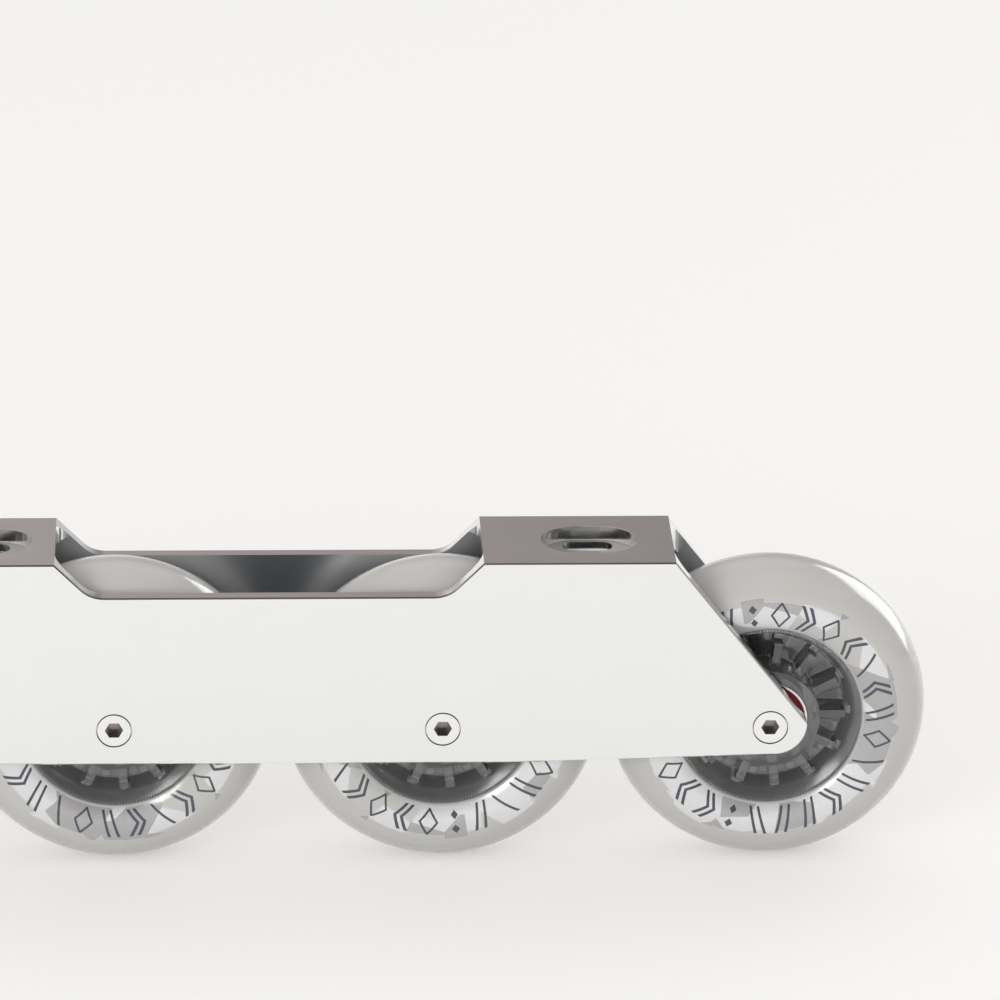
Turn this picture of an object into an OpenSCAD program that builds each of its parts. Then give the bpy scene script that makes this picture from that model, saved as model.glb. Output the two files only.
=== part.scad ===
// Inline skate frame: a machined aluminium channel with four wheels on through axles.
// X runs along the skate, Y across it, Z up. The origin is on the floor, midway along the wheels.

/* [Wheels] */
// Diameter of a tyre
wheel_d = 90; // [86:1:94]
// Width of a tyre, which is fully round across
wheel_w = 24; // [22:0.5:26]
// Gap between one tyre and the next
wheel_gap = 2; // [1.5:0.5:8]
// Diameter at which the tyre is bonded to its hub
hub_d = 52.8; // [50:0.2:56]
// Thickness of the hub's rim at the middle, under the tyre
rim_t = 4.6; // [3:0.2:6]
// Thickness of the rim at its edges
rim_edge_t = 0.8; // [0.6:0.1:2]
// Outer diameter of the hub's boss round the bearings
boss_d = 29; // [25:0.5:34]
// Thickness of the disc between the two rows of spokes
web_t = 1.6; // [1:0.2:3]
// Spokes in one row
spoke_count = 13; // [8:1:18]
// Thickness of a spoke
spoke_t = 2.6; // [1.5:0.1:3.5]
// Height of a spoke above the middle of the hub
spoke_h = 8.4; // [5:0.2:9.4]
// Height of a spoke's foot, where it meets the rim
spoke_foot_h = 5.2; // [3:0.2:8]
// How far a spoke's foot runs into the rim
spoke_foot_l = 3; // [2.6:0.1:3.2]

/* [Bearings] */
// Bore of a bearing, which is also the axle's diameter
bearing_bore = 8; // [7:0.5:8.5]
// Outer diameter of a bearing
bearing_d = 22; // [21:0.5:24]
// Width of a bearing
bearing_w = 7; // [6.5:0.25:8]
// Width across the pair of bearings in a hub
stack_w = 24; // [22:0.5:26]
// Pitch diameter of the ring of balls
ball_pitch_d = 15; // [14.8:0.1:15.4]
// Diameter of a ball
ball_d = 3.97; // [3.5:0.05:4.1]
// Balls in one bearing
ball_count = 7; // [5:1:8]
// Outer diameter of the inner ring's lands
inner_land_d = 12.1; // [11.6:0.1:12.4]
// Inner diameter of the outer ring's lands
outer_land_d = 17.9; // [17.6:0.1:18.6]
// Clearance between a ball and the race or cage round it
ball_fit = 0.06; // [0.04:0.01:0.1]
// Outer diameter of a shield, which sits in the outer ring
shield_d = 20; // [19:0.1:20.6]
// Thickness of a shield
shield_t = 0.4; // [0.3:0.05:0.5]
// Depth of a shield below the bearing's face
shield_set = 0.15; // [0.1:0.05:0.4]
// Gap between a shield and the inner ring
shield_gap = 0.25; // [0.15:0.05:0.5]
// Thickness of the ball cage, along the radius
cage_t = 1.2; // [0.8:0.1:1.5]
// Wall left on each side of a ball in the cage
cage_wall = 0.5; // [0.3:0.05:0.55]
// Inner diameter of the hub's shoulder between the bearings
shoulder_d = 18.6; // [17:0.2:20]
// Outer diameter of the spacer between the inner rings
spacer_d = 11.5; // [10:0.5:12]

/* [Axles] */
// Diameter of an axle's head
head_d = 9.5; // [9:0.25:12]
// Height of an axle's head
head_h = 3; // [2:0.25:3.5]
// Gap round the head in its recess
head_gap = 0.25; // [0.2:0.05:0.5]
// Width across flats of the hex socket
socket_w = 4; // [3:0.5:5]
// Depth of the hex socket
socket_h = 3.2; // [2:0.2:4]
// Diameter of the screwed end
thread_d = 7; // [6:0.25:7.5]
// How far the screwed end stands out of the far wall
thread_out = 0.5; // [0.2:0.1:1]
// Chamfer on the screwed end
thread_edge = 0.4; // [0.2:0.1:0.8]
// Radial clearance of an axle in the holes that it passes through
axle_fit = 0.02; // [0.01:0.01:0.05]

/* [Frame] */
// Thickness of a side wall
wall_t = 4; // [3.5:0.25:6]
// Gap between a tyre and a side wall
side_gap = 2; // [1.5:0.25:3]
// Height of the decks above the tyres
deck_rise = 5; // [4:0.5:8]
// Thickness of a deck
deck_t = 6.2; // [5.6:0.2:8]
// Length of the front deck, at +X
front_deck_l = 53.5; // [50:0.5:56]
// Length of the rear deck, at -X
rear_deck_l = 48.3; // [47:0.1:53]
// Distance from an end axle in to the outer end of its deck
deck_inset = 27.5; // [25:0.5:30]
// Rounding of the channel's corners at a deck, seen from above
corner_r = 4; // [2:0.5:8]
// Rounding of the channel's corners under a deck
vault_r = 5; // [2:0.5:9]
// Gap over a tyre where it runs under a deck
well_gap = 2.5; // [2:0.25:3.5]
// Depth of the recess between the decks
recess_h = 10; // [6:0.5:14]
// Slope of the ramps at the recess's ends
ramp_a = 45; // [35:1:60]
// Fillet at the foot of a ramp
ramp_r = 9; // [4:0.5:12]
// Depth of the walls below the axles, mid-frame
belly_h = 10.3; // [9.5:0.1:14]
// Depth of the walls below the end axles
tail_h = 8.3; // [7.8:0.1:9.2]
// Length over which the bottom edge rises to an end axle
rise_l = 74; // [50:1:90]
// Reach of the nose past an end axle
nose_reach = 10.3; // [9.6:0.1:14]
// Radius of the nose
nose_r = 9.1; // [8.5:0.1:9.5]
// Angle above level at which the nose meets the end slope
nose_a = 5; // [0:1:20]
// Diameter of the bosses that bear on the inner rings
pad_d = 11.5; // [10.5:0.25:12]
// Chamfer on the outer edges
edge = 0.4; // [0.3:0.1:1]
// Chamfer round the noses
nose_edge = 0.3; // [0.2:0.1:0.9]

/* [Mounting] */
// Distance of the front pocket's centre from the outer end of its deck
front_set = 23.5; // [22:0.5:30]
// Distance of the rear pocket's centre from the outer end of its deck
rear_set = 28.5; // [24:0.5:29]
// Length of a pocket
pocket_l = 26.7; // [24:0.1:27.5]
// Width of a pocket
pocket_w = 19.6; // [18.8:0.1:22]
// Depth of a pocket
pocket_h = 4.2; // [2:0.1:4.6]
// Length of a bolt slot
slot_l = 14; // [9:0.5:15]
// Width of a bolt slot
slot_w = 6.8; // [5:0.1:7.2]
// Distance between the two slots of a pocket
slot_gap = 10.8; // [9:0.1:11.2]

/* [Hidden] */
$fn = 96;
over = 1;
wheels = [0 : 3];
axle_pitch = wheel_d + wheel_gap;
axle_z = wheel_d / 2;
end_x = 1.5 * axle_pitch;
crown_r = wheel_w / 2;
crown_pitch = wheel_d / 2 - crown_r;
rim_w = 2 * sqrt(pow(crown_r, 2) - pow(crown_pitch - hub_d / 2, 2));
spacer_l = stack_w - 2 * bearing_w;
bearing_z = (stack_w - bearing_w) / 2;
race_r = ball_d / 2 + ball_fit;
cage_h = 2 * (race_r + cage_wall);
channel_w = wheel_w + 2 * side_gap;
frame_w = channel_w + 2 * wall_t;
deck_z = wheel_d + deck_rise;
deck_end = end_x - deck_inset;
front_in = deck_end - front_deck_l;
rear_in = rear_deck_l - deck_end;
front_x = deck_end - front_set;
rear_x = rear_set - deck_end;
recess_z = deck_z - recess_h;
ramp_run = recess_h / tan(ramp_a);
ramp_tan = ramp_r * tan(ramp_a / 2);
nose_c = [end_x + nose_reach - nose_r, axle_z - tail_h + nose_r];
nose_top = nose_c + nose_r * [cos(nose_a), sin(nose_a)];
nose_low = nose_c - [0, nose_r];
deck_corner = [deck_end, deck_z];
belly_z = axle_z - belly_h;
belly_x = end_x - rise_l;
silver = [0.90, 0.90, 0.88];
steel = [0.75, 0.76, 0.78];
milk = [0.80, 0.79, 0.77, 0.95];
clear = [0.85, 0.88, 0.90, 0.5];
red = [0.50, 0.08, 0.10];
brass = [0.78, 0.66, 0.36];

// Mirror image of a point of the side outline
function flip(p) = [-p[0], p[1]];
function axle_x(k) = k * axle_pitch - end_x;

// Places children on axle k, with their own Z along the axle towards its head
module on_axle(k) {
    translate([axle_x(k), 0, axle_z])
        rotate([90, 0, 0])
            children();
}

// Places children at both bearings of a hub
module at_bearings() {
    for (side = [-1, 1])
        translate([0, 0, side * bearing_z])
            children();
}

module tube(outer_d, inner_d, height) {
    difference() {
        cylinder(d = outer_d, h = height, center = true);
        cylinder(d = inner_d, h = height + 2 * over, center = true);
    }
}

// Slot outline with round ends, along X
module obround(length, width) {
    square([length - width, width], center = true);
    for (side = [-1, 1])
        translate([side * (length - width) / 2, 0])
            circle(d = width);
}

// Rectangle from one corner to the other, with round corners
module round_rect(low, high, radius) {
    for (inset = [[radius, 0], [0, radius]])
        translate(low + inset)
            square(high - low - 2 * inset);
    for (x = [low[0] + radius, high[0] - radius], y = [low[1] + radius, high[1] - radius])
        translate([x, y])
            circle(radius);
}

// Side outline of the frame

// Points of one ramp, as seen at the front deck: deck corner, both ends of the fillet, its centre
function ramp_points(corner_x) =
    let (foot = [corner_x - ramp_run, recess_z])
    [
        [corner_x, deck_z],
        foot + ramp_tan * [cos(ramp_a), sin(ramp_a)],
        foot - [ramp_tan, 0],
        foot + [-ramp_tan, ramp_r],
    ];

front_ramp = ramp_points(front_in);
rear_ramp = [for (p = ramp_points(-rear_in)) flip(p)];
ramp_lead = over * [1 / tan(ramp_a), 1];

module recess() {
    polygon([
        front_ramp[0] + ramp_lead, front_ramp[0], front_ramp[1], front_ramp[2],
        rear_ramp[2], rear_ramp[1], rear_ramp[0], rear_ramp[0] + flip(ramp_lead),
    ]);
    for (ramp = [front_ramp, rear_ramp])
        translate(ramp[3])
            circle(ramp_r);
}

// Corner beyond the end slope, from above the deck to past the nose
module end_cut() {
    run = nose_top - deck_corner;
    high = deck_corner - over * run / norm(run);
    low = nose_top + nose_r * run / norm(run);
    polygon([high, low, [low[0], high[1]]]);
}

module side_outline() {
    inner = nose_c + [nose_r / 2, 0];
    half = [[inner[0], deck_z], inner, nose_low, [belly_x, belly_z]];
    difference() {
        union() {
            polygon(concat(half, [for (i = [3 : -1 : 0]) flip(half[i])]));
            for (side = [0, 1])
                mirror([side, 0])
                    translate(nose_c)
                        circle(nose_r);
        }
        for (side = [0, 1])
            mirror([side, 0])
                end_cut();
        recess();
    }
}

// Frame

// Chamfers along one straight edge of both walls, from p to q and on past its ends, with the wall
// on the right. The square bar that cuts them stands off, so that only its flat meets the wall.
module edge_cut(p, q, past_p = edge, past_q = edge) {
    run = q - p;
    dir = run / norm(run);
    start = p - past_p * dir;
    for (side = [-1, 1])
        translate([start[0], side * frame_w / 2, start[1]])
            rotate([0, atan2(run[0], run[1]), 0])
                translate([-over / 2, side * over / 2, 0])
                    cylinder(r = edge + over, h = norm(run) + past_p + past_q, $fn = 4);
}

// Chamfer ring round an arc of both walls: out is 1 round a nose and -1 in a hollow
module arc_cut(centre, radius, size, out) {
    for (side = [-1, 1])
        translate([centre[0], side * (frame_w + over) / 2, centre[1]])
            rotate([90, 0, 0])
                rotate_extrude()
                    translate([radius + out * over / 2, 0])
                        circle(r = size + over, $fn = 4);
}

module edge_chamfers() {
    for (side = [0, 1])
        mirror([side, 0, 0]) {
            edge_cut(deck_corner, nose_top);
            edge_cut(nose_low, [belly_x, belly_z], 0, edge);
            intersection() {
                arc_cut(nose_c, nose_r, nose_edge, 1);
                translate([nose_c[0], -frame_w, nose_low[1] - over])
                    cube([nose_r + over, 2 * frame_w, nose_top[1] - nose_low[1] + 2 * over]);
            }
        }
    edge_cut([belly_x, belly_z], [-belly_x, belly_z]);
    edge_cut([front_in, deck_z], deck_corner);
    edge_cut(flip(deck_corner), [rear_in, deck_z]);
    edge_cut(rear_ramp[0], rear_ramp[1], edge, 0);
    edge_cut(rear_ramp[2], front_ramp[2], 0, 0);
    edge_cut(front_ramp[1], front_ramp[0], 0, edge);
    for (ramp = [front_ramp, rear_ramp])
        arc_cut(ramp[3], ramp_r, edge, -1);
}

// The channel between the walls, closed over only by the decks
module channel() {
    half_w = channel_w / 2;
    reach = end_x + nose_reach + over;
    ceiling = deck_z - deck_t;
    rotate([90, 0, 90])
        linear_extrude(2 * reach, center = true) {
            translate([-half_w, 0])
                square([channel_w, ceiling - vault_r]);
            translate([vault_r - half_w, 0])
                square([channel_w - 2 * vault_r, ceiling]);
            for (side = [-1, 1])
                translate([side * (half_w - vault_r), ceiling - vault_r])
                    circle(vault_r);
        }
    spans = [[-reach - corner_r, -deck_end], [rear_in, front_in], [deck_end, reach + corner_r]];
    for (span = spans)
        linear_extrude(deck_z + over)
            round_rect([span[0], -half_w], [span[1], half_w], corner_r);
}

// Round clearance over a tyre, where it runs under a deck
module wheel_well() {
    cylinder(r = wheel_d / 2 + well_gap, h = channel_w, center = true);
}

// Pads on the inside of both walls, which bear on the bearings' inner rings
module axle_pads() {
    pad_h = (channel_w - stack_w) / 2;
    for (side = [-1, 1])
        translate([0, 0, side * (stack_w + pad_h + over) / 2])
            cylinder(d = pad_d, h = pad_h + over, center = true);
}

// Plain hole and head recess on the head's side, screwed hole in the far wall
module axle_hole() {
    translate([0, 0, -frame_w / 2 - over])
        cylinder(d = thread_d + 2 * axle_fit, h = frame_w);
    cylinder(d = bearing_bore + 2 * axle_fit, h = frame_w / 2 + over);
    translate([0, 0, frame_w / 2 - head_h])
        cylinder(d = head_d + 2 * head_gap, h = head_h + over);
}

// Pocket in a deck, with two bolt slots through its floor
module mount_pocket() {
    translate([0, 0, deck_z - pocket_h])
        linear_extrude(pocket_h + over)
            obround(pocket_l, pocket_w);
    for (side = [-1, 1])
        translate([0, side * slot_gap / 2, deck_z - deck_t - over])
            linear_extrude(deck_t + over)
                obround(slot_l, slot_w);
}

module frame() {
    color(silver)
        difference() {
            union() {
                difference() {
                    rotate([90, 0, 0])
                        linear_extrude(frame_w, center = true)
                            side_outline();
                    channel();
                    for (k = wheels)
                        on_axle(k)
                            wheel_well();
                }
                for (k = wheels)
                    on_axle(k)
                        axle_pads();
            }
            for (k = wheels)
                on_axle(k)
                    axle_hole();
            for (x = [front_x, rear_x])
                translate([x, 0, 0])
                    mount_pocket();
            edge_chamfers();
        }
}

// Axle parts that stay with the frame

// Through axle: sunk head with a hex socket, plain shank, screwed end
module axle(k) {
    head_face = frame_w / 2;
    far_face = frame_w / 2 + thread_out;
    color(steel)
        on_axle(k)
            difference() {
                union() {
                    translate([0, 0, head_face - head_h])
                        cylinder(d = head_d, h = head_h);
                    translate([0, 0, -stack_w / 2])
                        cylinder(d = bearing_bore, h = head_face - head_h + stack_w / 2);
                    translate([0, 0, thread_edge - far_face])
                        cylinder(d = thread_d, h = far_face - thread_edge);
                    translate([0, 0, -far_face])
                        cylinder(d1 = thread_d - 2 * thread_edge, d2 = thread_d, h = thread_edge);
                }
                translate([0, 0, head_face - socket_h])
                    cylinder(d = socket_w / cos(30), h = socket_h + over, $fn = 6);
            }
}

// Spacer between the two inner rings
module spacer(k) {
    color(steel)
        on_axle(k)
            tube(spacer_d, bearing_bore + 2 * axle_fit, spacer_l);
}

// Groove that the balls run in
module race() {
    rotate_extrude()
        translate([ball_pitch_d / 2, 0])
            circle(race_r);
}

module inner_rings(k) {
    color(steel)
        on_axle(k)
            at_bearings()
                difference() {
                    tube(inner_land_d, bearing_bore + 2 * axle_fit, bearing_w);
                    race();
                }
}

// Parts that turn with the wheel

module tyre(k) {
    color(milk)
        on_axle(k)
            rotate_extrude()
                difference() {
                    translate([crown_pitch, 0])
                        circle(crown_r);
                    translate([0, -wheel_w])
                        square([hub_d / 2, 2 * wheel_w]);
                }
}

// Rim under the tyre, dished towards both edges
module rim() {
    dish_h = (rim_w - web_t) / 2;
    in_r = hub_d / 2 - rim_t;
    slope = (rim_t - rim_edge_t) / dish_h;
    difference() {
        cylinder(d = hub_d, h = rim_w, center = true);
        for (turn = [0, 180])
            rotate([turn, 0, 0])
                translate([0, 0, web_t / 2])
                    cylinder(r1 = in_r, r2 = in_r + slope * (dish_h + over), h = dish_h + over);
    }
}

// One row of spokes, standing up from the middle of the hub
module spoke_row() {
    in_r = hub_d / 2 - rim_t;
    for (i = [0 : spoke_count - 1])
        rotate(i * 360 / spoke_count)
            translate([boss_d / 2 - over, -spoke_t / 2, 0]) {
                cube([in_r - boss_d / 2 + over, spoke_t, spoke_h]);
                cube([in_r - boss_d / 2 + spoke_foot_l + over, spoke_t, spoke_foot_h]);
            }
}

module hub(k) {
    color(clear)
        on_axle(k)
            difference() {
                union() {
                    cylinder(d = boss_d, h = stack_w, center = true);
                    rim();
                    spoke_row();
                    rotate([180, 0, 180 / spoke_count])
                        spoke_row();
                }
                cylinder(d = shoulder_d, h = stack_w + over, center = true);
                for (side = [-1, 1])
                    translate([0, 0, side * (spacer_l + stack_w) / 2])
                        cylinder(d = bearing_d, h = stack_w, center = true);
            }
}

module outer_rings(k) {
    seat_h = shield_set + shield_t;
    color(steel)
        on_axle(k)
            at_bearings()
                difference() {
                    tube(bearing_d, outer_land_d, bearing_w);
                    race();
                    for (side = [-1, 1])
                        translate([0, 0, side * (bearing_w - seat_h + over) / 2])
                            cylinder(d = shield_d, h = seat_h + over, center = true);
                }
}

module shields(k) {
    color(red)
        on_axle(k)
            at_bearings()
                for (side = [-1, 1])
                    translate([0, 0, side * ((bearing_w - shield_t) / 2 - shield_set)])
                        tube(shield_d, inner_land_d + 2 * shield_gap, shield_t);
}

// Parts that roll between the rings

// Places children round the ring of balls, with their own X pointing outwards
module at_balls() {
    for (i = [0 : ball_count - 1])
        rotate(i * 360 / ball_count)
            translate([ball_pitch_d / 2, 0, 0])
                children();
}

// Ball cage: a ring with one round pocket for each ball
module cages(k) {
    color(brass)
        on_axle(k)
            at_bearings()
                difference() {
                    tube(ball_pitch_d + cage_t, ball_pitch_d - cage_t, cage_h);
                    at_balls()
                        rotate([0, 90, 0])
                            cylinder(r = race_r, h = cage_t + 2 * over, center = true);
                }
}

module balls(k) {
    color(steel)
        on_axle(k)
            at_bearings()
                at_balls()
                    sphere(d = ball_d);
}

frame();
for (k = wheels) {
    axle(k);
    spacer(k);
    inner_rings(k);
    tyre(k);
    hub(k);
    outer_rings(k);
    shields(k);
    cages(k);
    balls(k);
}
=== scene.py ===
import bpy
import math
from mathutils import Euler, Matrix, Vector


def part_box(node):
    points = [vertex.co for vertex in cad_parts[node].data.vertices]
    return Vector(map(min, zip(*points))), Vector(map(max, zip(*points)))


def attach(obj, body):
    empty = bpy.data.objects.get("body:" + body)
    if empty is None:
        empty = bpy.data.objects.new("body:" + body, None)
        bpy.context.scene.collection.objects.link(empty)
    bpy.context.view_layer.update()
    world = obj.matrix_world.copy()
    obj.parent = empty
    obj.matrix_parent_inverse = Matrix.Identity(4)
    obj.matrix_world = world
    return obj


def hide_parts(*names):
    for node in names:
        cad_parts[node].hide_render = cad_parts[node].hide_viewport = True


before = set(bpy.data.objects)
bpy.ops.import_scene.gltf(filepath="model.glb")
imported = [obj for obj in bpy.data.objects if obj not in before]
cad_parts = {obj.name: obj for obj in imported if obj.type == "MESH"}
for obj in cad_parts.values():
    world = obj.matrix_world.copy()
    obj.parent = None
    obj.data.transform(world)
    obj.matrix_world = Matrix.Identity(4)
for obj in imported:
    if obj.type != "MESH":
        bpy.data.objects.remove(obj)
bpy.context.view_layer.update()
scene = bpy.context.scene
wheelNumbers = (1, 2, 3, 4)
print("frame loaded:", len(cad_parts), "nodes")


def boxCentre(nodeName):
    low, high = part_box(nodeName)
    return (low + high) / 2


def boxRadius(nodeName):
    low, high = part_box(nodeName)
    return (high.z - low.z) / 2


axleAt = {number: boxCentre(f"tyre_{number}") for number in wheelNumbers}

# selecting and editing

meshSpec = {"weld": 2e-6, "flatAngle": 0.3, "smoothAngle": 32}
selectModes = {"vertices": "VERT", "edges": "EDGE", "polygons": "FACE"}


def deselectAll():
    if bpy.context.object and bpy.context.object.mode != "OBJECT":
        bpy.ops.object.mode_set(mode="OBJECT")
    bpy.ops.object.select_all(action="DESELECT")


def makeActive(piece):
    deselectAll()
    piece.select_set(True)
    bpy.context.view_layer.objects.active = piece


def startEditing(piece, mode="VERT"):
    makeActive(piece)
    bpy.ops.object.mode_set(mode="EDIT")
    bpy.ops.mesh.select_mode(type=mode)


def stopEditing():
    bpy.ops.object.mode_set(mode="OBJECT")


def selectInEdit(piece, kind, test):
    # kind is vertices, edges or polygons of the mesh, test takes one of them
    bpy.ops.mesh.select_mode(type=selectModes[kind])
    bpy.ops.mesh.select_all(action="DESELECT")
    stopEditing()
    for part in getattr(piece.data, kind):
        part.select = test(part)
    bpy.ops.object.mode_set(mode="EDIT")


def edgeEnds(piece, edge):
    return [piece.data.vertices[index].co for index in edge.vertices]


def distanceFromAxle(point, axle):
    return math.hypot(point.x - axle.x, point.z - axle.z)


def mergedCopy(nodeName, pieceName, joinFlats=True):
    # the CAD mesh is loose triangles: joined up, and flat faces made one where they have no holes
    piece = bpy.data.objects.new(pieceName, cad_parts[nodeName].data.copy())
    scene.collection.objects.link(piece)
    startEditing(piece)
    bpy.ops.mesh.select_all(action="SELECT")
    bpy.ops.mesh.customdata_custom_splitnormals_clear()
    bpy.ops.mesh.remove_doubles(threshold=meshSpec["weld"])
    if joinFlats:
        bpy.ops.mesh.dissolve_limited(angle_limit=math.radians(meshSpec["flatAngle"]))
    stopEditing()
    return piece


def smoothFaces(piece):
    makeActive(piece)
    bpy.ops.object.shade_smooth_by_angle(angle=math.radians(meshSpec["smoothAngle"]))


def smoothAroundFlats(piece):
    # flat faces keep their own normals, so that only the rounded edges shade smoothly
    smoothFaces(piece)
    flats = piece.modifiers.new("flatFaces", "WEIGHTED_NORMAL")
    flats.keep_sharp = True
    bpy.ops.object.modifier_apply(modifier=flats.name)


def softenEdges(piece, spec):
    makeActive(piece)
    bevel = piece.modifiers.new("softEdges", "BEVEL")
    bevel.width = spec["edgeRound"]
    bevel.segments = spec["edgeSteps"]
    bevel.limit_method = "ANGLE"
    bevel.angle_limit = math.radians(spec["sharpAngle"])
    bevel.use_clamp_overlap = False
    bpy.ops.object.modifier_apply(modifier=bevel.name)
    smoothAroundFlats(piece)


def repeatOnAxles(first, pieceName):
    # the piece of wheel 1, and a copy of it on each other axle
    first.name = f"{pieceName}_1"
    copies = {1: first}
    for number in wheelNumbers[1:]:
        makeActive(first)
        bpy.ops.object.duplicate(linked=False)
        copy = bpy.context.object
        copy.name = f"{pieceName}_{number}"
        copy.location = axleAt[number] - axleAt[1]
        bpy.ops.object.transform_apply(location=True, rotation=False, scale=False)
        copies[number] = copy
    return copies


def fitPiece(piece, nodeName, body, finish):
    # the piece stands for its node, moves with its body and takes its finish
    piece.data.materials.clear()
    piece.data.materials.append(finish)
    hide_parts(nodeName)
    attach(piece, body)


# shader nodes


def addNode(tree, kind, sockets=None, **settings):
    made = tree.nodes.new(kind)
    for setting, value in settings.items():
        setattr(made, setting, value)
    for socket, value in (sockets or {}).items():
        feed(tree, made.inputs[socket], value)
    return made


def feed(tree, socket, value):
    if isinstance(value, bpy.types.NodeSocket):
        tree.links.new(value, socket)
    else:
        socket.default_value = value


def setSockets(shader, values):
    for socket, value in values.items():
        shader.inputs[socket].default_value = value


def calc(tree, operation, *terms):
    made = tree.nodes.new("ShaderNodeMath")
    made.operation = operation
    for place, term in enumerate(terms):
        feed(tree, made.inputs[place], term)
    return made.outputs[0]


def scaled(tree, vector, scale):
    made = addNode(tree, "ShaderNodeVectorMath", {0: vector, "Scale": scale}, operation="SCALE")
    return made.outputs[0]


def mixColour(tree, share, first, second):
    made = addNode(tree, "ShaderNodeMix", {0: share, 6: first, 7: second}, data_type="RGBA")
    return made.outputs[2]


def mixValue(tree, share, first, second):
    made = addNode(tree, "ShaderNodeMix", {0: share, 2: first, 3: second}, data_type="FLOAT")
    return made.outputs[0]


def spread(tree, value, low, high):
    # 0 to 1 becomes low to high
    made = addNode(tree, "ShaderNodeMapRange", {"Value": value, "To Min": low, "To Max": high})
    return made.outputs[0]


def axesOf(tree, vector):
    return addNode(tree, "ShaderNodeSeparateXYZ", {0: vector}).outputs


def coloursOf(tree, colour):
    return addNode(tree, "ShaderNodeSeparateColor", {0: colour}).outputs


def objectPlace(tree):
    return addNode(tree, "ShaderNodeTexCoord").outputs["Object"]


def surfaceNormal(tree):
    return addNode(tree, "ShaderNodeNewGeometry").outputs["Normal"]


def newFinish(name):
    finish = bpy.data.materials.new(name)
    finish.use_nodes = True
    return finish, finish.node_tree, finish.node_tree.nodes["Principled BSDF"]


def addRelief(tree, shader, height, distance=1.0, strength=1.0):
    bump = addNode(tree, "ShaderNodeBump", {"Height": height, "Distance": distance, "Strength": strength})
    feed(tree, shader.inputs["Normal"], bump.outputs[0])


def newGroup(name, inputs, outputs):
    group = bpy.data.node_groups.new(name, "ShaderNodeTree")
    for socket, kind in inputs:
        group.interface.new_socket(name=socket, in_out="INPUT", socket_type=kind)
    for socket, kind in outputs:
        group.interface.new_socket(name=socket, in_out="OUTPUT", socket_type=kind)
    return group, group.nodes.new("NodeGroupInput"), group.nodes.new("NodeGroupOutput")


def useGroup(tree, group, **sockets):
    return addNode(tree, "ShaderNodeGroup", sockets, node_tree=group).outputs


toolMarkSpec = {"lineDetail": 3.0, "lineRoughness": 0.6, "lineShare": 0.6,
                "cloudScale": 60.0, "cloudDetail": 2.0, "cloudShare": 0.4}


def makeToolMarks(spec):
    # fine lines left by a cutter, and the uneven tone under them
    group, given, put = newGroup(
        "toolMarks",
        [("Place", "NodeSocketVector"), ("Stretch", "NodeSocketVector")],
        [("Height", "NodeSocketFloat"), ("Tone", "NodeSocketFloat")],
    )
    place, stretch = given.outputs["Place"], given.outputs["Stretch"]
    stretched = addNode(group, "ShaderNodeVectorMath", {0: place, 1: stretch}, operation="MULTIPLY")
    lines = addNode(group, "ShaderNodeTexNoise",
                    {"Vector": stretched.outputs[0], "Scale": 1.0, "Detail": spec["lineDetail"],
                     "Roughness": spec["lineRoughness"]})
    clouds = addNode(group, "ShaderNodeTexNoise",
                     {"Vector": place, "Scale": spec["cloudScale"], "Detail": spec["cloudDetail"]})
    tone = calc(group, "ADD", calc(group, "MULTIPLY", lines.outputs["Fac"], spec["lineShare"]),
                calc(group, "MULTIPLY", clouds.outputs["Fac"], spec["cloudShare"]))
    feed(group, put.inputs["Height"], lines.outputs["Fac"])
    feed(group, put.inputs["Tone"], tone)
    return group


handlingSpec = {"smearDetail": 4.0, "smearSwirl": 0.6,
                "grainScale": 14.0, "grainSize": 0.10, "dustFrom": 0.93}


def makeHandling(spec):
    # smudges and dust of a piece that has been picked up
    group, given, put = newGroup(
        "handling",
        [("Place", "NodeSocketVector"), ("Scale", "NodeSocketFloat")],
        [("Smudge", "NodeSocketFloat"), ("Dust", "NodeSocketFloat")],
    )
    place, scale = given.outputs["Place"], given.outputs["Scale"]
    smears = addNode(group, "ShaderNodeTexNoise",
                     {"Vector": place, "Scale": scale, "Detail": spec["smearDetail"],
                      "Distortion": spec["smearSwirl"]})
    grainScale = calc(group, "MULTIPLY", scale, spec["grainScale"])
    grains = addNode(group, "ShaderNodeTexVoronoi", {"Vector": place, "Scale": grainScale, "Randomness": 1.0})
    near = calc(group, "LESS_THAN", grains.outputs["Distance"], spec["grainSize"])
    rare = calc(group, "GREATER_THAN", coloursOf(group, grains.outputs["Color"])[0], spec["dustFrom"])
    feed(group, put.inputs["Smudge"], smears.outputs["Fac"])
    feed(group, put.inputs["Dust"], calc(group, "MULTIPLY", near, rare))
    return group


toolMarks = makeToolMarks(toolMarkSpec)
handling = makeHandling(handlingSpec)


def metalFinish(name, spec):
    finish, tree, shader = newFinish(name)
    place = objectPlace(tree)
    marks = useGroup(tree, toolMarks, Place=place, Stretch=spec["markStretch"])
    touch = useGroup(tree, handling, Place=place, Scale=spec["smudgeScale"])
    feed(tree, shader.inputs["Base Color"], mixColour(tree, marks["Tone"], spec["dark"], spec["light"]))
    feed(tree, shader.inputs["Roughness"], spread(tree, touch["Smudge"], *spec["roughness"]))
    addRelief(tree, shader, marks["Height"], spec["markDepth"], spec["markStrength"])
    setSockets(shader, {"Metallic": 1.0})
    return finish


# frame: polished channel, mirror bright on the decks and satin on the sides, with painted shade on the
# channel's inner walls

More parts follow.
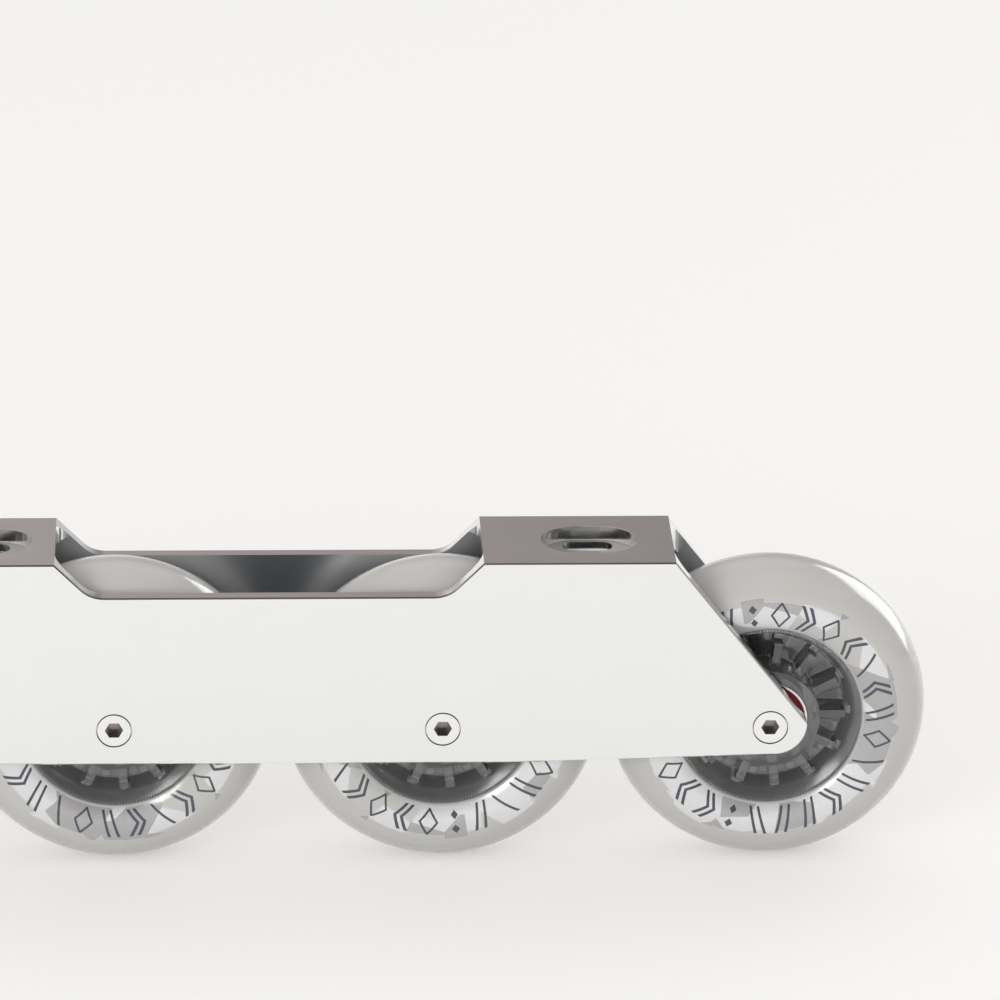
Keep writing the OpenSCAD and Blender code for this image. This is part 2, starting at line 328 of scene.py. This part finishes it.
frameSpec = {
    "rimRound": 0.00015, "rimSteps": 2, "sharpAngle": 40, "faceSlack": 1e-5,
    "pocketAt": (-0.082, 0.087), "pocketReach": 0.014, "pocketLow": 0.0900, "headReach": 0.0053,
    "light": (0.925, 0.930, 0.913, 1), "dark": (0.880, 0.886, 0.870, 1),
    "sideStretch": (40, 40, 2600), "wallStretch": (2400, 2400, 30),
    "deckRoughness": (0.05, 0.09), "sideRoughness": (0.16, 0.24),
    "markDepth": 1.5e-6, "wallDepth": 6e-6, "smudgeScale": 30.0,
    "flatFacing": 0.9, "pocketHalf": 0.0105, "channelHalf": 0.0140, "channelSlack": 2e-4,
    # painted shade: a darker colour for the channel's inner walls
    "inside": (0.62, 0.64, 0.67, 1), "insideRoughness": 0.30,
}


def softenRims(piece, spec):
    # rims of pockets, slots and head recesses: the long edges have chamfers of their own
    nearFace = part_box("frame")[0].y
    startEditing(piece, "EDGE")
    bpy.ops.mesh.select_all(action="DESELECT")
    bpy.ops.mesh.edges_select_sharp(sharpness=math.radians(spec["sharpAngle"]))
    stopEditing()

    def inPocket(point):
        reach = min(math.hypot(point.x - middle, point.y) for middle in spec["pocketAt"])
        return reach < spec["pocketReach"] and point.z > spec["pocketLow"]

    def atHead(point):
        reach = min(distanceFromAxle(point, axle) for axle in axleAt.values())
        return reach < spec["headReach"] and point.y < nearFace + spec["faceSlack"]

    rims = set()
    for edge in piece.data.edges:
        ends = edgeEnds(piece, edge)
        onRim = all(inPocket(end) for end in ends) or all(atHead(end) for end in ends)
        if edge.select and onRim:
            rims.add(edge.index)
    bpy.ops.object.mode_set(mode="EDIT")
    selectInEdit(piece, "edges", lambda edge: edge.index in rims)
    bpy.ops.mesh.bevel(offset=spec["rimRound"], segments=spec["rimSteps"], affect="EDGES",
                       clamp_overlap=True)
    stopEditing()
    smoothAroundFlats(piece)


def frameFinish(spec):
    finish, tree, shader = newFinish("polishedAluminium")
    place = objectPlace(tree)
    facing = axesOf(tree, surfaceNormal(tree))
    aside = calc(tree, "ABSOLUTE", axesOf(tree, place)["Y"])
    upFacing = calc(tree, "GREATER_THAN", facing["Z"], spec["flatFacing"])
    wallFacing = calc(tree, "GREATER_THAN", calc(tree, "ABSOLUTE", facing["Y"]), spec["flatFacing"])
    inPocket = calc(tree, "MULTIPLY", calc(tree, "LESS_THAN", aside, spec["pocketHalf"]),
                    calc(tree, "SUBTRACT", 1.0, upFacing))
    # inner walls of the channel, facing across it: painted shade darkens their colour, and they are rougher
    inside = calc(tree, "MULTIPLY", wallFacing,
                  calc(tree, "COMPARE", aside, spec["channelHalf"], spec["channelSlack"]))
    sides = useGroup(tree, toolMarks, Place=place, Stretch=spec["sideStretch"])
    walls = useGroup(tree, toolMarks, Place=place, Stretch=spec["wallStretch"])
    touch = useGroup(tree, handling, Place=place, Scale=spec["smudgeScale"])
    bright = mixColour(tree, sides["Tone"], spec["dark"], spec["light"])
    feed(tree, shader.inputs["Base Color"], mixColour(tree, inside, bright, spec["inside"]))
    deckGloss = spread(tree, touch["Smudge"], *spec["deckRoughness"])
    sideGloss = spread(tree, touch["Smudge"], *spec["sideRoughness"])
    gloss = mixValue(tree, upFacing, sideGloss, deckGloss)
    feed(tree, shader.inputs["Roughness"], mixValue(tree, inside, gloss, spec["insideRoughness"]))
    sideHeight = calc(tree, "MULTIPLY", sides["Height"], spec["markDepth"])
    pocketMarks = calc(tree, "MULTIPLY", walls["Height"], inPocket)
    wallHeight = calc(tree, "MULTIPLY", pocketMarks, spec["wallDepth"])
    addRelief(tree, shader, calc(tree, "ADD", sideHeight, wallHeight))
    setSockets(shader, {"Metallic": 1.0})
    return finish


channel = mergedCopy("frame", "channelFrame", joinFlats=False)
softenRims(channel, frameSpec)
fitPiece(channel, "frame", "chassis", frameFinish(frameSpec))
print("frame channel done:", len(channel.data.polygons), "faces")

# axles: sunk head with a bevelled hex socket, painted darker inside as shade

axleSpec = {
    "rimBevel": 0.00022, "rimFrom": 0.0045, "bevelSteps": 2, "faceSlack": 1e-6,
    "socketBevel": 0.00026, "socketReach": 0.003, "socketDeep": 0.0035, "mouthSlack": 1e-5,
    "steel": {
        "light": (0.96, 0.96, 0.955, 1), "dark": (0.90, 0.90, 0.895, 1), "roughness": (0.14, 0.24),
        "markStretch": (1800, 1800, 1800), "markStrength": 0.3, "markDepth": 2e-6, "smudgeScale": 90.0,
    },
    # painted shade for the inside of the socket
    "socketShade": {
        "light": (0.44, 0.40, 0.37, 1), "dark": (0.14, 0.13, 0.12, 1), "roughness": (0.14, 0.30),
        "markStretch": (1300, 400, 1300), "markStrength": 1.0, "markDepth": 2e-5, "smudgeScale": 200.0,
    },
}


def modelAxle(spec):
    piece = mergedCopy("axle_1", "firstAxle")
    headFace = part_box("axle_1")[0].y

    def onHeadFace(edge, inner, outer):
        ends = edgeEnds(piece, edge)
        reach = [distanceFromAxle(end, axleAt[1]) for end in ends]
        level = all(abs(end.y - headFace) < spec["faceSlack"] for end in ends)
        return level and inner < min(reach) and max(reach) < outer

    startEditing(piece)
    selectInEdit(piece, "edges", lambda edge: onHeadFace(edge, 0, spec["socketReach"]))
    bpy.ops.mesh.bevel(offset=spec["socketBevel"], segments=spec["bevelSteps"], affect="EDGES")
    selectInEdit(piece, "edges", lambda edge: onHeadFace(edge, spec["rimFrom"], math.inf))
    bpy.ops.mesh.bevel(offset=spec["rimBevel"], segments=spec["bevelSteps"], affect="EDGES")
    stopEditing()
    smoothAroundFlats(piece)
    return piece


def paintSocketShade(piece, number, spec, finish):
    # painted shade: the inside of the socket gets a darker steel, as shade of the recess
    piece.data.materials.append(finish)
    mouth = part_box(f"axle_{number}")[0].y + spec["mouthSlack"]
    for face in piece.data.polygons:
        atMiddle = distanceFromAxle(face.center, axleAt[number]) < spec["socketReach"]
        sunk = mouth < face.center.y < mouth + spec["socketDeep"]
        face.material_index = 1 if atMiddle and sunk else 0


turnedSteel = metalFinish("turnedSteel", axleSpec["steel"])
socketShadeSteel = metalFinish("socketShadeSteel", axleSpec["socketShade"])
for number, piece in repeatOnAxles(modelAxle(axleSpec), "axle_turned").items():
    fitPiece(piece, f"axle_{number}", "chassis", turnedSteel)
    paintSocketShade(piece, number, axleSpec, socketShadeSteel)
print("axles done")

# tyres: cast milky urethane with a printed band on each side

tyreSpec = {
    "sectionSteps": 80, "turnSteps": 180, "trim": 7e-6, "bite": 4e-5, "lipRound": 0.0005, "lipSteps": 3,
    "cutSlack": 1e-7, "weld": 1e-6, "bondSlack": 1e-5, "turned": {1: 40, 2: 205, 3: 118, 4: 300},
    "milk": (0.620, 0.611, 0.585, 1), "milkDeep": (0.562, 0.554, 0.530, 1),
    "roughness": (0.14, 0.26), "smudgeScale": 45.0, "dust": (0.9, 0.9, 0.9, 1), "dustShare": 0.5,
    "scatter": 0.35, "scatterReach": (1.0, 0.95, 0.85), "scatterScale": 0.004,
    "coat": 0.8, "coatRoughness": 0.13, "seamHalf": 0.00012, "seamHeight": 2e-5,
    "bandInner": 0.0270, "bandOuter": 0.0345, "bandRagged": 0.0032, "patchScale": 105.0,
    "bareShare": 0.14, "ashShare": 0.42, "printMetal": 0.25,
    "fleckScale": 2600.0, "fleckDetail": 1.0, "fleck": (0.86, 1.10),
    "silver": (0.80, 0.795, 0.80, 1), "ash": (0.47, 0.465, 0.465, 1), "ink": (0.06, 0.075, 0.10, 1),
    "cells": 26.0, "cellWidth": 0.0076, "inkMid": 0.0315, "inkHalf": 0.0042, "inkLength": 0.94,
    "inkWidth": 0.00040, "barSlant": 0.0013, "barGap": 0.0012, "strokeSlant": 0.0021,
    "studWide": 0.0011, "studTall": 0.32,
    "chevronDeep": 0.0026, "chevronGap": 0.0010, "chevronWidth": 0.00050,
    "diamondWide": 0.0025, "diamondTall": 0.88, "diamondLine": 0.15,
}


def modelTyre(spec):
    # a round section cut off at the hub, spun about the axle, with its inner corners rounded
    axle = axleAt[1]
    low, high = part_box("tyre_1")
    crown = (high.y - low.y) / 2 - spec["trim"]
    bond = boxRadius("hub_1") - spec["bite"]
    deselectAll()
    bpy.ops.mesh.primitive_circle_add(
        vertices=spec["sectionSteps"], radius=crown, rotation=(0, math.pi / 2, 0),
        location=axle + Vector((0, 0, boxRadius("tyre_1") - spec["trim"] - crown)))
    piece = bpy.context.object
    bpy.ops.object.transform_apply(location=True, rotation=True, scale=True)
    startEditing(piece)
    bpy.ops.mesh.select_all(action="SELECT")
    bpy.ops.mesh.bisect(plane_co=axle + Vector((0, 0, bond)), plane_no=(0, 0, 1),
                        clear_inner=True, threshold=spec["cutSlack"])
    selectInEdit(piece, "vertices", lambda vertex: abs(vertex.co.z - axle.z - bond) < spec["weld"])
    bpy.ops.mesh.edge_face_add()
    bpy.ops.mesh.select_all(action="SELECT")
    bpy.ops.mesh.spin(steps=spec["turnSteps"], angle=2 * math.pi, center=axle, axis=(0, 1, 0))
    bpy.ops.mesh.select_all(action="SELECT")
    bpy.ops.mesh.remove_doubles(threshold=spec["weld"])
    bpy.ops.mesh.normals_make_consistent(inside=False)

    def onLip(edge):
        ends = edgeEnds(piece, edge)
        onBond = all(abs(distanceFromAxle(end, axle) - bond) < spec["bondSlack"] for end in ends)
        return onBond and abs(ends[0].y - ends[1].y) < spec["weld"]

    selectInEdit(piece, "edges", onLip)
    bpy.ops.mesh.bevel(offset=spec["lipRound"], segments=spec["lipSteps"], affect="EDGES")
    stopEditing()
    smoothFaces(piece)
    return piece


def keepWheelPlace(piece, number, degrees):
    # where each point is on its wheel, turned as this wheel's print stands
    turn = Matrix.Rotation(math.radians(degrees), 3, "Y")
    kept = piece.data.attributes.new("wheelPlace", "FLOAT_VECTOR", "POINT")
    for vertex, held in zip(piece.data.vertices, kept.data):
        held.vector = turn @ (vertex.co - axleAt[number])


def wheelPlace(tree):
    return addNode(tree, "ShaderNodeAttribute", attribute_name="wheelPlace").outputs["Vector"]


def onWheelDisc(tree, axes):
    # the place on the wheel's disc, its radius and its share of a turn
    flat = addNode(tree, "ShaderNodeCombineXYZ", {"X": axes["X"], "Y": axes["Z"]}).outputs[0]
    radius = addNode(tree, "ShaderNodeVectorMath", {0: flat}, operation="LENGTH").outputs["Value"]
    turn = calc(tree, "DIVIDE", calc(tree, "ARCTAN2", axes["Z"], axes["X"]), 2 * math.pi)
    return flat, radius, turn


def printedMarks(tree, spec, radius, turn):
    # dark marks, one to a cell round the band: bars, studs, chevrons, diamonds and strokes
    cell = calc(tree, "MULTIPLY", turn, spec["cells"])
    rise = calc(tree, "DIVIDE", calc(tree, "SUBTRACT", radius, spec["inkMid"]), spec["inkHalf"])
    height = calc(tree, "ABSOLUTE", rise)
    fromHalf = calc(tree, "SUBTRACT", height, 0.5)
    draw = addNode(tree, "ShaderNodeTexWhiteNoise", {"W": calc(tree, "FLOOR", cell)}, noise_dimensions="1D")
    side = calc(tree, "GREATER_THAN", coloursOf(tree, draw.outputs["Color"])[1], 0.5)
    hand = calc(tree, "MULTIPLY_ADD", side, 2.0, -1.0)
    fromMiddle = calc(tree, "SUBTRACT", calc(tree, "FRACT", cell), 0.5)
    along = calc(tree, "MULTIPLY", calc(tree, "MULTIPLY", fromMiddle, spec["cellWidth"]), hand)
    span = calc(tree, "ABSOLUTE", along)

    def nearLine(middle, gap, width):
        # a pair of lines on both sides of a middle line, or one line where the gap is 0
        off = calc(tree, "ABSOLUTE", calc(tree, "SUBTRACT", along, middle))
        return calc(tree, "LESS_THAN", calc(tree, "ABSOLUTE", calc(tree, "SUBTRACT", off, gap)), width)

    def inRhombus(wide, up, tall):
        # 1 on the outline of a rhombus, and less inside it
        return calc(tree, "ADD", calc(tree, "DIVIDE", span, wide), calc(tree, "DIVIDE", up, tall))

    bar = calc(tree, "MULTIPLY", rise, spec["barSlant"])
    arrow = calc(tree, "MULTIPLY", fromHalf, spec["chevronDeep"])
    stroke = calc(tree, "MULTIPLY", rise, spec["strokeSlant"])
    stud = inRhombus(spec["studWide"], calc(tree, "ABSOLUTE", fromHalf), spec["studTall"])
    diamond = inRhombus(spec["diamondWide"], height, spec["diamondTall"])
    motifs = [
        nearLine(bar, spec["barGap"], spec["inkWidth"]),
        calc(tree, "LESS_THAN", stud, 1.0),
        nearLine(arrow, spec["chevronGap"], spec["chevronWidth"]),
        calc(tree, "COMPARE", diamond, 1.0, spec["diamondLine"]),
        nearLine(stroke, 0.0, spec["inkWidth"]),
    ]
    kind = calc(tree, "FLOOR", calc(tree, "MULTIPLY", draw.outputs["Value"], float(len(motifs))))
    marks = 0.0
    for index, motif in enumerate(motifs):
        chosen = calc(tree, "COMPARE", kind, float(index), 0.5)
        marks = calc(tree, "MULTIPLY_ADD", motif, chosen, marks)
    return calc(tree, "MULTIPLY", marks, calc(tree, "LESS_THAN", height, spec["inkLength"]))


def tyreFinish(spec):
    finish, tree, shader = newFinish("milkyUrethane")
    place = wheelPlace(tree)
    axes = axesOf(tree, place)
    flat, radius, turn = onWheelDisc(tree, axes)

    # silver shards with a ragged outer edge
    shards = addNode(tree, "ShaderNodeTexVoronoi", {"Vector": flat, "Scale": spec["patchScale"]})
    luck = coloursOf(tree, shards.outputs["Color"])
    outer = calc(tree, "MULTIPLY_ADD", luck[2], spec["bandRagged"], spec["bandOuter"])
    inBand = calc(tree, "MULTIPLY", calc(tree, "GREATER_THAN", radius, spec["bandInner"]),
                  calc(tree, "LESS_THAN", radius, outer))
    printed = calc(tree, "MULTIPLY", inBand, calc(tree, "GREATER_THAN", luck[0], spec["bareShare"]))
    pale = calc(tree, "GREATER_THAN", luck[1], spec["ashShare"])
    flecks = addNode(tree, "ShaderNodeTexNoise",
                     {"Vector": place, "Scale": spec["fleckScale"], "Detail": spec["fleckDetail"]})
    grain = spread(tree, flecks.outputs["Fac"], *spec["fleck"])
    leaf = scaled(tree, mixColour(tree, pale, spec["ash"], spec["silver"]), grain)

    # milk under the print, ink on it, dust over all
    touch = useGroup(tree, handling, Place=place, Scale=spec["smudgeScale"])
    milk = mixColour(tree, touch["Smudge"], spec["milkDeep"], spec["milk"])
    ink = printedMarks(tree, spec, radius, turn)
    colour = mixColour(tree, ink, mixColour(tree, printed, milk, leaf), spec["ink"])
    dust = calc(tree, "MULTIPLY", touch["Dust"], spec["dustShare"])
    feed(tree, shader.inputs["Base Color"], mixColour(tree, dust, colour, spec["dust"]))
    feed(tree, shader.inputs["Roughness"], spread(tree, touch["Smudge"], *spec["roughness"]))
    feed(tree, shader.inputs["Metallic"], calc(tree, "MULTIPLY", printed, spec["printMetal"]))

    # the parting line of the mould
    seam = calc(tree, "LESS_THAN", calc(tree, "ABSOLUTE", axes["Y"]), spec["seamHalf"])
    addRelief(tree, shader, calc(tree, "MULTIPLY", seam, spec["seamHeight"]))
    setSockets(shader, {
        "Subsurface Weight": spec["scatter"], "Subsurface Radius": spec["scatterReach"],
        "Subsurface Scale": spec["scatterScale"],
        "Coat Weight": spec["coat"], "Coat Roughness": spec["coatRoughness"],
    })
    return finish


milkyUrethane = tyreFinish(tyreSpec)
for number, piece in repeatOnAxles(modelTyre(tyreSpec), "tyre_cast").items():
    keepWheelPlace(piece, number, tyreSpec["turned"][number])
    fitPiece(piece, f"tyre_{number}", f"wheel_{number}", milkyUrethane)
print("tyres done")

# hubs: smoky clear plastic, painted paler towards the rim as light from the tyre shows through

hubSpec = {
    "edgeRound": 0.00030, "edgeSteps": 3, "sharpAngle": 30,
    "tint": (0.175, 0.175, 0.18, 1), "tintDeep": (0.13, 0.13, 0.135, 1),
    "roughness": (0.06, 0.14), "smudgeScale": 70.0, "clear": 0.85, "density": 1.20,
    # the rim colour is a painted glow of the white tyre seen through the plastic
    "paintedRimGlow": (0.50, 0.50, 0.51, 1), "rimFrom": 0.0205, "rimTo": 0.0262, "rimLean": 1.25,
    "bead": (0.06, 0.06, 0.06, 1), "beadAt": 0.0259, "beadHalf": 0.0003, "beads": 190.0, "beadShare": 0.5,
    "coat": 1.0, "coatRoughness": 0.22, "coatDensity": 1.8,
}


def hubFinish(spec):
    finish, tree, shader = newFinish("smokyPlastic")
    place = wheelPlace(tree)
    axes = axesOf(tree, place)
    radius, turn = onWheelDisc(tree, axes)[1:]
    touch = useGroup(tree, handling, Place=place, Scale=spec["smudgeScale"])
    smoke = mixColour(tree, touch["Smudge"], spec["tintDeep"], spec["tint"])
    # painted light: the colour grows paler towards the rim's edge, for the white tyre seen through the
    # plastic and the rim's highlight
    rim = addNode(tree, "ShaderNodeMapRange",
                  {"Value": radius, "From Min": spec["rimFrom"], "From Max": spec["rimTo"]}).outputs[0]
    withPaintedGlow = mixColour(tree, rim, smoke, spec["paintedRimGlow"])

    # a row of beads at the edge
    step = calc(tree, "FRACT", calc(tree, "MULTIPLY", turn, spec["beads"]))
    tick = calc(tree, "LESS_THAN", step, spec["beadShare"])
    bead = calc(tree, "MULTIPLY", tick, calc(tree, "COMPARE", radius, spec["beadAt"], spec["beadHalf"]))
    feed(tree, shader.inputs["Base Color"], mixColour(tree, bead, withPaintedGlow, spec["bead"]))
    feed(tree, shader.inputs["Roughness"], spread(tree, touch["Smudge"], *spec["roughness"]))

    # a gloss that leans outwards with the rim's dish
    lean = calc(tree, "MULTIPLY", calc(tree, "SIGN", axes["Y"]),
                calc(tree, "MULTIPLY", rim, spec["rimLean"]))
    sideways = addNode(tree, "ShaderNodeCombineXYZ", {"Y": lean}).outputs[0]
    leaned = addNode(tree, "ShaderNodeVectorMath", {0: surfaceNormal(tree), 1: sideways}, operation="ADD")
    outward = addNode(tree, "ShaderNodeVectorMath", {0: leaned.outputs[0]}, operation="NORMALIZE")
    feed(tree, shader.inputs["Coat Normal"], outward.outputs[0])
    setSockets(shader, {
        "Transmission Weight": spec["clear"], "IOR": spec["density"], "Coat IOR": spec["coatDensity"],
        "Coat Weight": spec["coat"], "Coat Roughness": spec["coatRoughness"],
    })
    return finish


smokyPlastic = hubFinish(hubSpec)
firstHub = mergedCopy("hub_1", "firstHub")
softenEdges(firstHub, hubSpec)
for number, piece in repeatOnAxles(firstHub, "hub_moulded").items():
    keepWheelPlace(piece, number, 0)
    fitPiece(piece, f"hub_{number}", f"wheel_{number}", smokyPlastic)
print("hubs done:", len(firstHub.data.polygons), "faces each")

# bearings: ground rings with red shields, a brass cage and bright balls

ringSpec = {
    "edgeRound": 0.00030, "edgeSteps": 3, "sharpAngle": 50,
    "light": (0.84, 0.84, 0.83, 1), "dark": (0.72, 0.72, 0.72, 1), "roughness": (0.10, 0.20),
    "markStretch": (300, 4000, 300), "markStrength": 0.3, "markDepth": 2e-6, "smudgeScale": 120.0,
}
shieldSpec = {
    "stepIn": 0.00055, "stepDown": -0.00012, "flatFacing": 0.99,
    "light": (0.26, 0.018, 0.025, 1), "dark": (0.16, 0.010, 0.016, 1), "roughness": (0.28, 0.42),
    "markStretch": (2500, 2500, 2500), "markDepth": 4e-6, "smudgeScale": 150.0,
}
spacerSpec = {
    "light": (0.70, 0.70, 0.70, 1), "dark": (0.55, 0.55, 0.55, 1), "roughness": (0.25, 0.40),
    "markStretch": (300, 3000, 300), "markStrength": 0.5, "markDepth": 4e-6, "smudgeScale": 120.0,
}
cageSpec = {
    "light": (0.74, 0.60, 0.30, 1), "dark": (0.60, 0.46, 0.22, 1), "roughness": (0.25, 0.40),
    "markStretch": (300, 3000, 300), "markStrength": 0.5, "markDepth": 4e-6, "smudgeScale": 120.0,
}
ballSpec = {
    "light": (0.88, 0.88, 0.88, 1), "dark": (0.82, 0.82, 0.82, 1), "roughness": (0.03, 0.08),
    "markStretch": (900, 900, 900), "markStrength": 0.1, "markDepth": 1e-6, "smudgeScale": 300.0,
}


def shieldFinish(spec):
    finish, tree, shader = newFinish("redShield")
    place = objectPlace(tree)
    marks = useGroup(tree, toolMarks, Place=place, Stretch=spec["markStretch"])
    touch = useGroup(tree, handling, Place=place, Scale=spec["smudgeScale"])
    feed(tree, shader.inputs["Base Color"], mixColour(tree, marks["Tone"], spec["dark"], spec["light"]))
    feed(tree, shader.inputs["Roughness"], spread(tree, touch["Smudge"], *spec["roughness"]))
    addRelief(tree, shader, marks["Height"], spec["markDepth"])
    return finish


def modelShields(spec):
    piece = mergedCopy("shields_1", "firstShields")
    startEditing(piece)
    selectInEdit(piece, "polygons", lambda face: abs(face.normal.y) > spec["flatFacing"])
    bpy.ops.mesh.inset(thickness=spec["stepIn"], depth=spec["stepDown"], use_boundary=True)
    stopEditing()
    smoothAroundFlats(piece)
    return piece


groundSteel = metalFinish("groundSteel", ringSpec)
outerRings = mergedCopy("outer_rings_1", "firstOuterRings")
softenEdges(outerRings, ringSpec)
for number, piece in repeatOnAxles(outerRings, "outer_rings_ground").items():
    fitPiece(piece, f"outer_rings_{number}", f"wheel_{number}", groundSteel)
innerRings = mergedCopy("inner_rings_1", "firstInnerRings")
softenEdges(innerRings, ringSpec)
for number, piece in repeatOnAxles(innerRings, "inner_rings_ground").items():
    fitPiece(piece, f"inner_rings_{number}", "chassis", groundSteel)
redShield = shieldFinish(shieldSpec)
for number, piece in repeatOnAxles(modelShields(shieldSpec), "shields_pressed").items():
    fitPiece(piece, f"shields_{number}", f"wheel_{number}", redShield)

# the pieces hidden inside keep their own shape
hiddenFinishes = {
    "spacer": metalFinish("sawnSteel", spacerSpec),
    "cages": metalFinish("brassCage", cageSpec),
    "balls": metalFinish("ballSteel", ballSpec),
}
for nodeKind, finish in hiddenFinishes.items():
    for number in wheelNumbers:
        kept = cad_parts[f"{nodeKind}_{number}"]
        kept.data.materials.clear()
        kept.data.materials.append(finish)
print("bearings done")

# stage: pale floor, soft boxes and the photograph's camera

stageSpec = {
    "floorSize": 30.0, "floor": (0.645, 0.641, 0.635, 1), "floorRoughness": 0.7,
    "glow": (1.0, 0.993, 0.985, 1), "floorLift": 0.38,
    "fill": (1.0, 0.99, 0.985), "fillStrength": 0.72, "seen": (0.92, 0.915, 0.91, 1),
    "skyStops": [(0.0, (0.92, 0.91, 0.905, 1)), (0.22, (0.86, 0.82, 0.815, 1)),
                 (0.36, (0.42, 0.375, 0.375, 1)), (0.55, (0.27, 0.255, 0.255, 1)),
                 (1.0, (0.08, 0.08, 0.085, 1))],
    "duskFrom": -0.06, "duskTo": 0.12, "dusk": 0.58,
}
softBoxes = {
    "backBox": {"place": (0.1, 1.0, 1.5), "aim": (0, 0, 0), "wide": 1.5, "tall": 0.9, "power": 1.4},
    "rightBox": {"place": (1.3, 0.9, 0.6), "aim": (0.1, 0, 0.05), "wide": 1.2, "tall": 1.1, "power": 18.0,
                 "fill": False, "flagged": True},
    "frontBox": {"place": (0.0, -1.9, 0.50), "aim": (0, 0, 0.03), "wide": 2.6, "tall": 0.9, "power": 8.0,
                 "sheen": False},
    "leftBox": {"place": (-1.0, -1.35, 0.70), "aim": (-0.1, 0, 0.05), "wide": 0.7, "tall": 0.5,
                "power": 7.0, "flagged": True},
}
cameraSpec = {"place": (-0.020, -1.760, 0.802), "down": 21.53, "right": 2.667, "roll": 0.77,
              "lens": 244.04, "sensor": 36.0, "farClip": 60.0}


def reflectedRays(tree, rays):
    return calc(tree, "MAXIMUM", rays["Is Glossy Ray"], rays["Is Transmission Ray"])


def layFloor(spec):
    deselectAll()
    bpy.ops.mesh.primitive_plane_add(size=spec["floorSize"])
    floor = bpy.context.object
    floor.name = "floor"
    finish, tree, shader = newFinish("paleFloor")
    setSockets(shader, {"Base Color": spec["floor"], "Roughness": spec["floorRoughness"],
                        "Emission Color": spec["glow"]})
    rays = addNode(tree, "ShaderNodeLightPath").outputs
    seen = calc(tree, "MAXIMUM", rays["Is Camera Ray"], reflectedRays(tree, rays))
    feed(tree, shader.inputs["Emission Strength"], calc(tree, "MULTIPLY", seen, spec["floorLift"]))
    floor.data.materials.append(finish)


def lightSky(spec):
    # even fill for the light, a studio that darkens upwards for the metal, and plain pale for the camera
    world = bpy.data.worlds.new("paleSky")
    world.use_nodes = True
    scene.world = world
    tree = world.node_tree
    rays = addNode(tree, "ShaderNodeLightPath").outputs
    towards = axesOf(tree, addNode(tree, "ShaderNodeTexCoord").outputs["Generated"])
    studio = addNode(tree, "ShaderNodeValToRGB", {"Fac": towards["Z"]})
    stops = studio.color_ramp.elements
    for index, (height, colour) in enumerate(spec["skyStops"]):
        stop = stops[index] if index < 2 else stops.new(height)  # a new ramp has two stops
        stop.position = height
        stop.color = colour
    darker = addNode(tree, "ShaderNodeMapRange",
                     {"Value": towards["X"], "From Min": spec["duskFrom"], "From Max": spec["duskTo"],
                      "To Min": 1.0, "To Max": spec["dusk"]})
    room = scaled(tree, studio.outputs["Color"], darker.outputs[0])
    fill = scaled(tree, spec["fill"], spec["fillStrength"])
    lit = mixColour(tree, reflectedRays(tree, rays), fill, room)
    sky = tree.nodes["Background"]
    feed(tree, sky.inputs["Color"], mixColour(tree, rays["Is Camera Ray"], lit, spec["seen"]))


def raiseFlag(piece):
    # keeps a lamp off the mirror bright metal, which would only show it as a white patch
    flag = bpy.data.collections.new("flag")
    flag.objects.link(piece)
    flag.collection_objects[0].light_linking.link_state = "EXCLUDE"
    return flag


def hangSoftBox(name, box, flag):
    place = Vector(box["place"])
    deselectAll()
    bpy.ops.object.light_add(type="AREA", location=place)
    lamp = bpy.context.object
    lamp.name = name
    lamp.rotation_euler = (Vector(box["aim"]) - place).to_track_quat("-Z", "Y").to_euler()
    lamp.data.shape = "RECTANGLE"
    lamp.data.size = box["wide"]
    lamp.data.size_y = box["tall"]
    lamp.data.energy = box["power"]
    lamp.visible_diffuse = box.get("fill", True)
    lamp.visible_glossy = box.get("sheen", True)
    if box.get("flagged"):
        lamp.light_linking.receiver_collection = flag


def setCamera(view):
    deselectAll()
    bpy.ops.object.camera_add(location=view["place"])
    camera = bpy.context.object
    level = Euler((math.radians(90 - view["down"]), 0, math.radians(-view["right"]))).to_matrix()
    camera.rotation_euler = (level @ Matrix.Rotation(math.radians(view["roll"]), 3, "Z")).to_euler()
    camera.data.lens = view["lens"]
    camera.data.sensor_width = view["sensor"]
    camera.data.clip_end = view["farClip"]
    scene.camera = camera


layFloor(stageSpec)
lightSky(stageSpec)
frameFlag = raiseFlag(channel)
for name, box in softBoxes.items():
    hangSoftBox(name, box, frameFlag)
setCamera(cameraSpec)
scene.view_settings.view_transform = "Standard"
print("stage done")
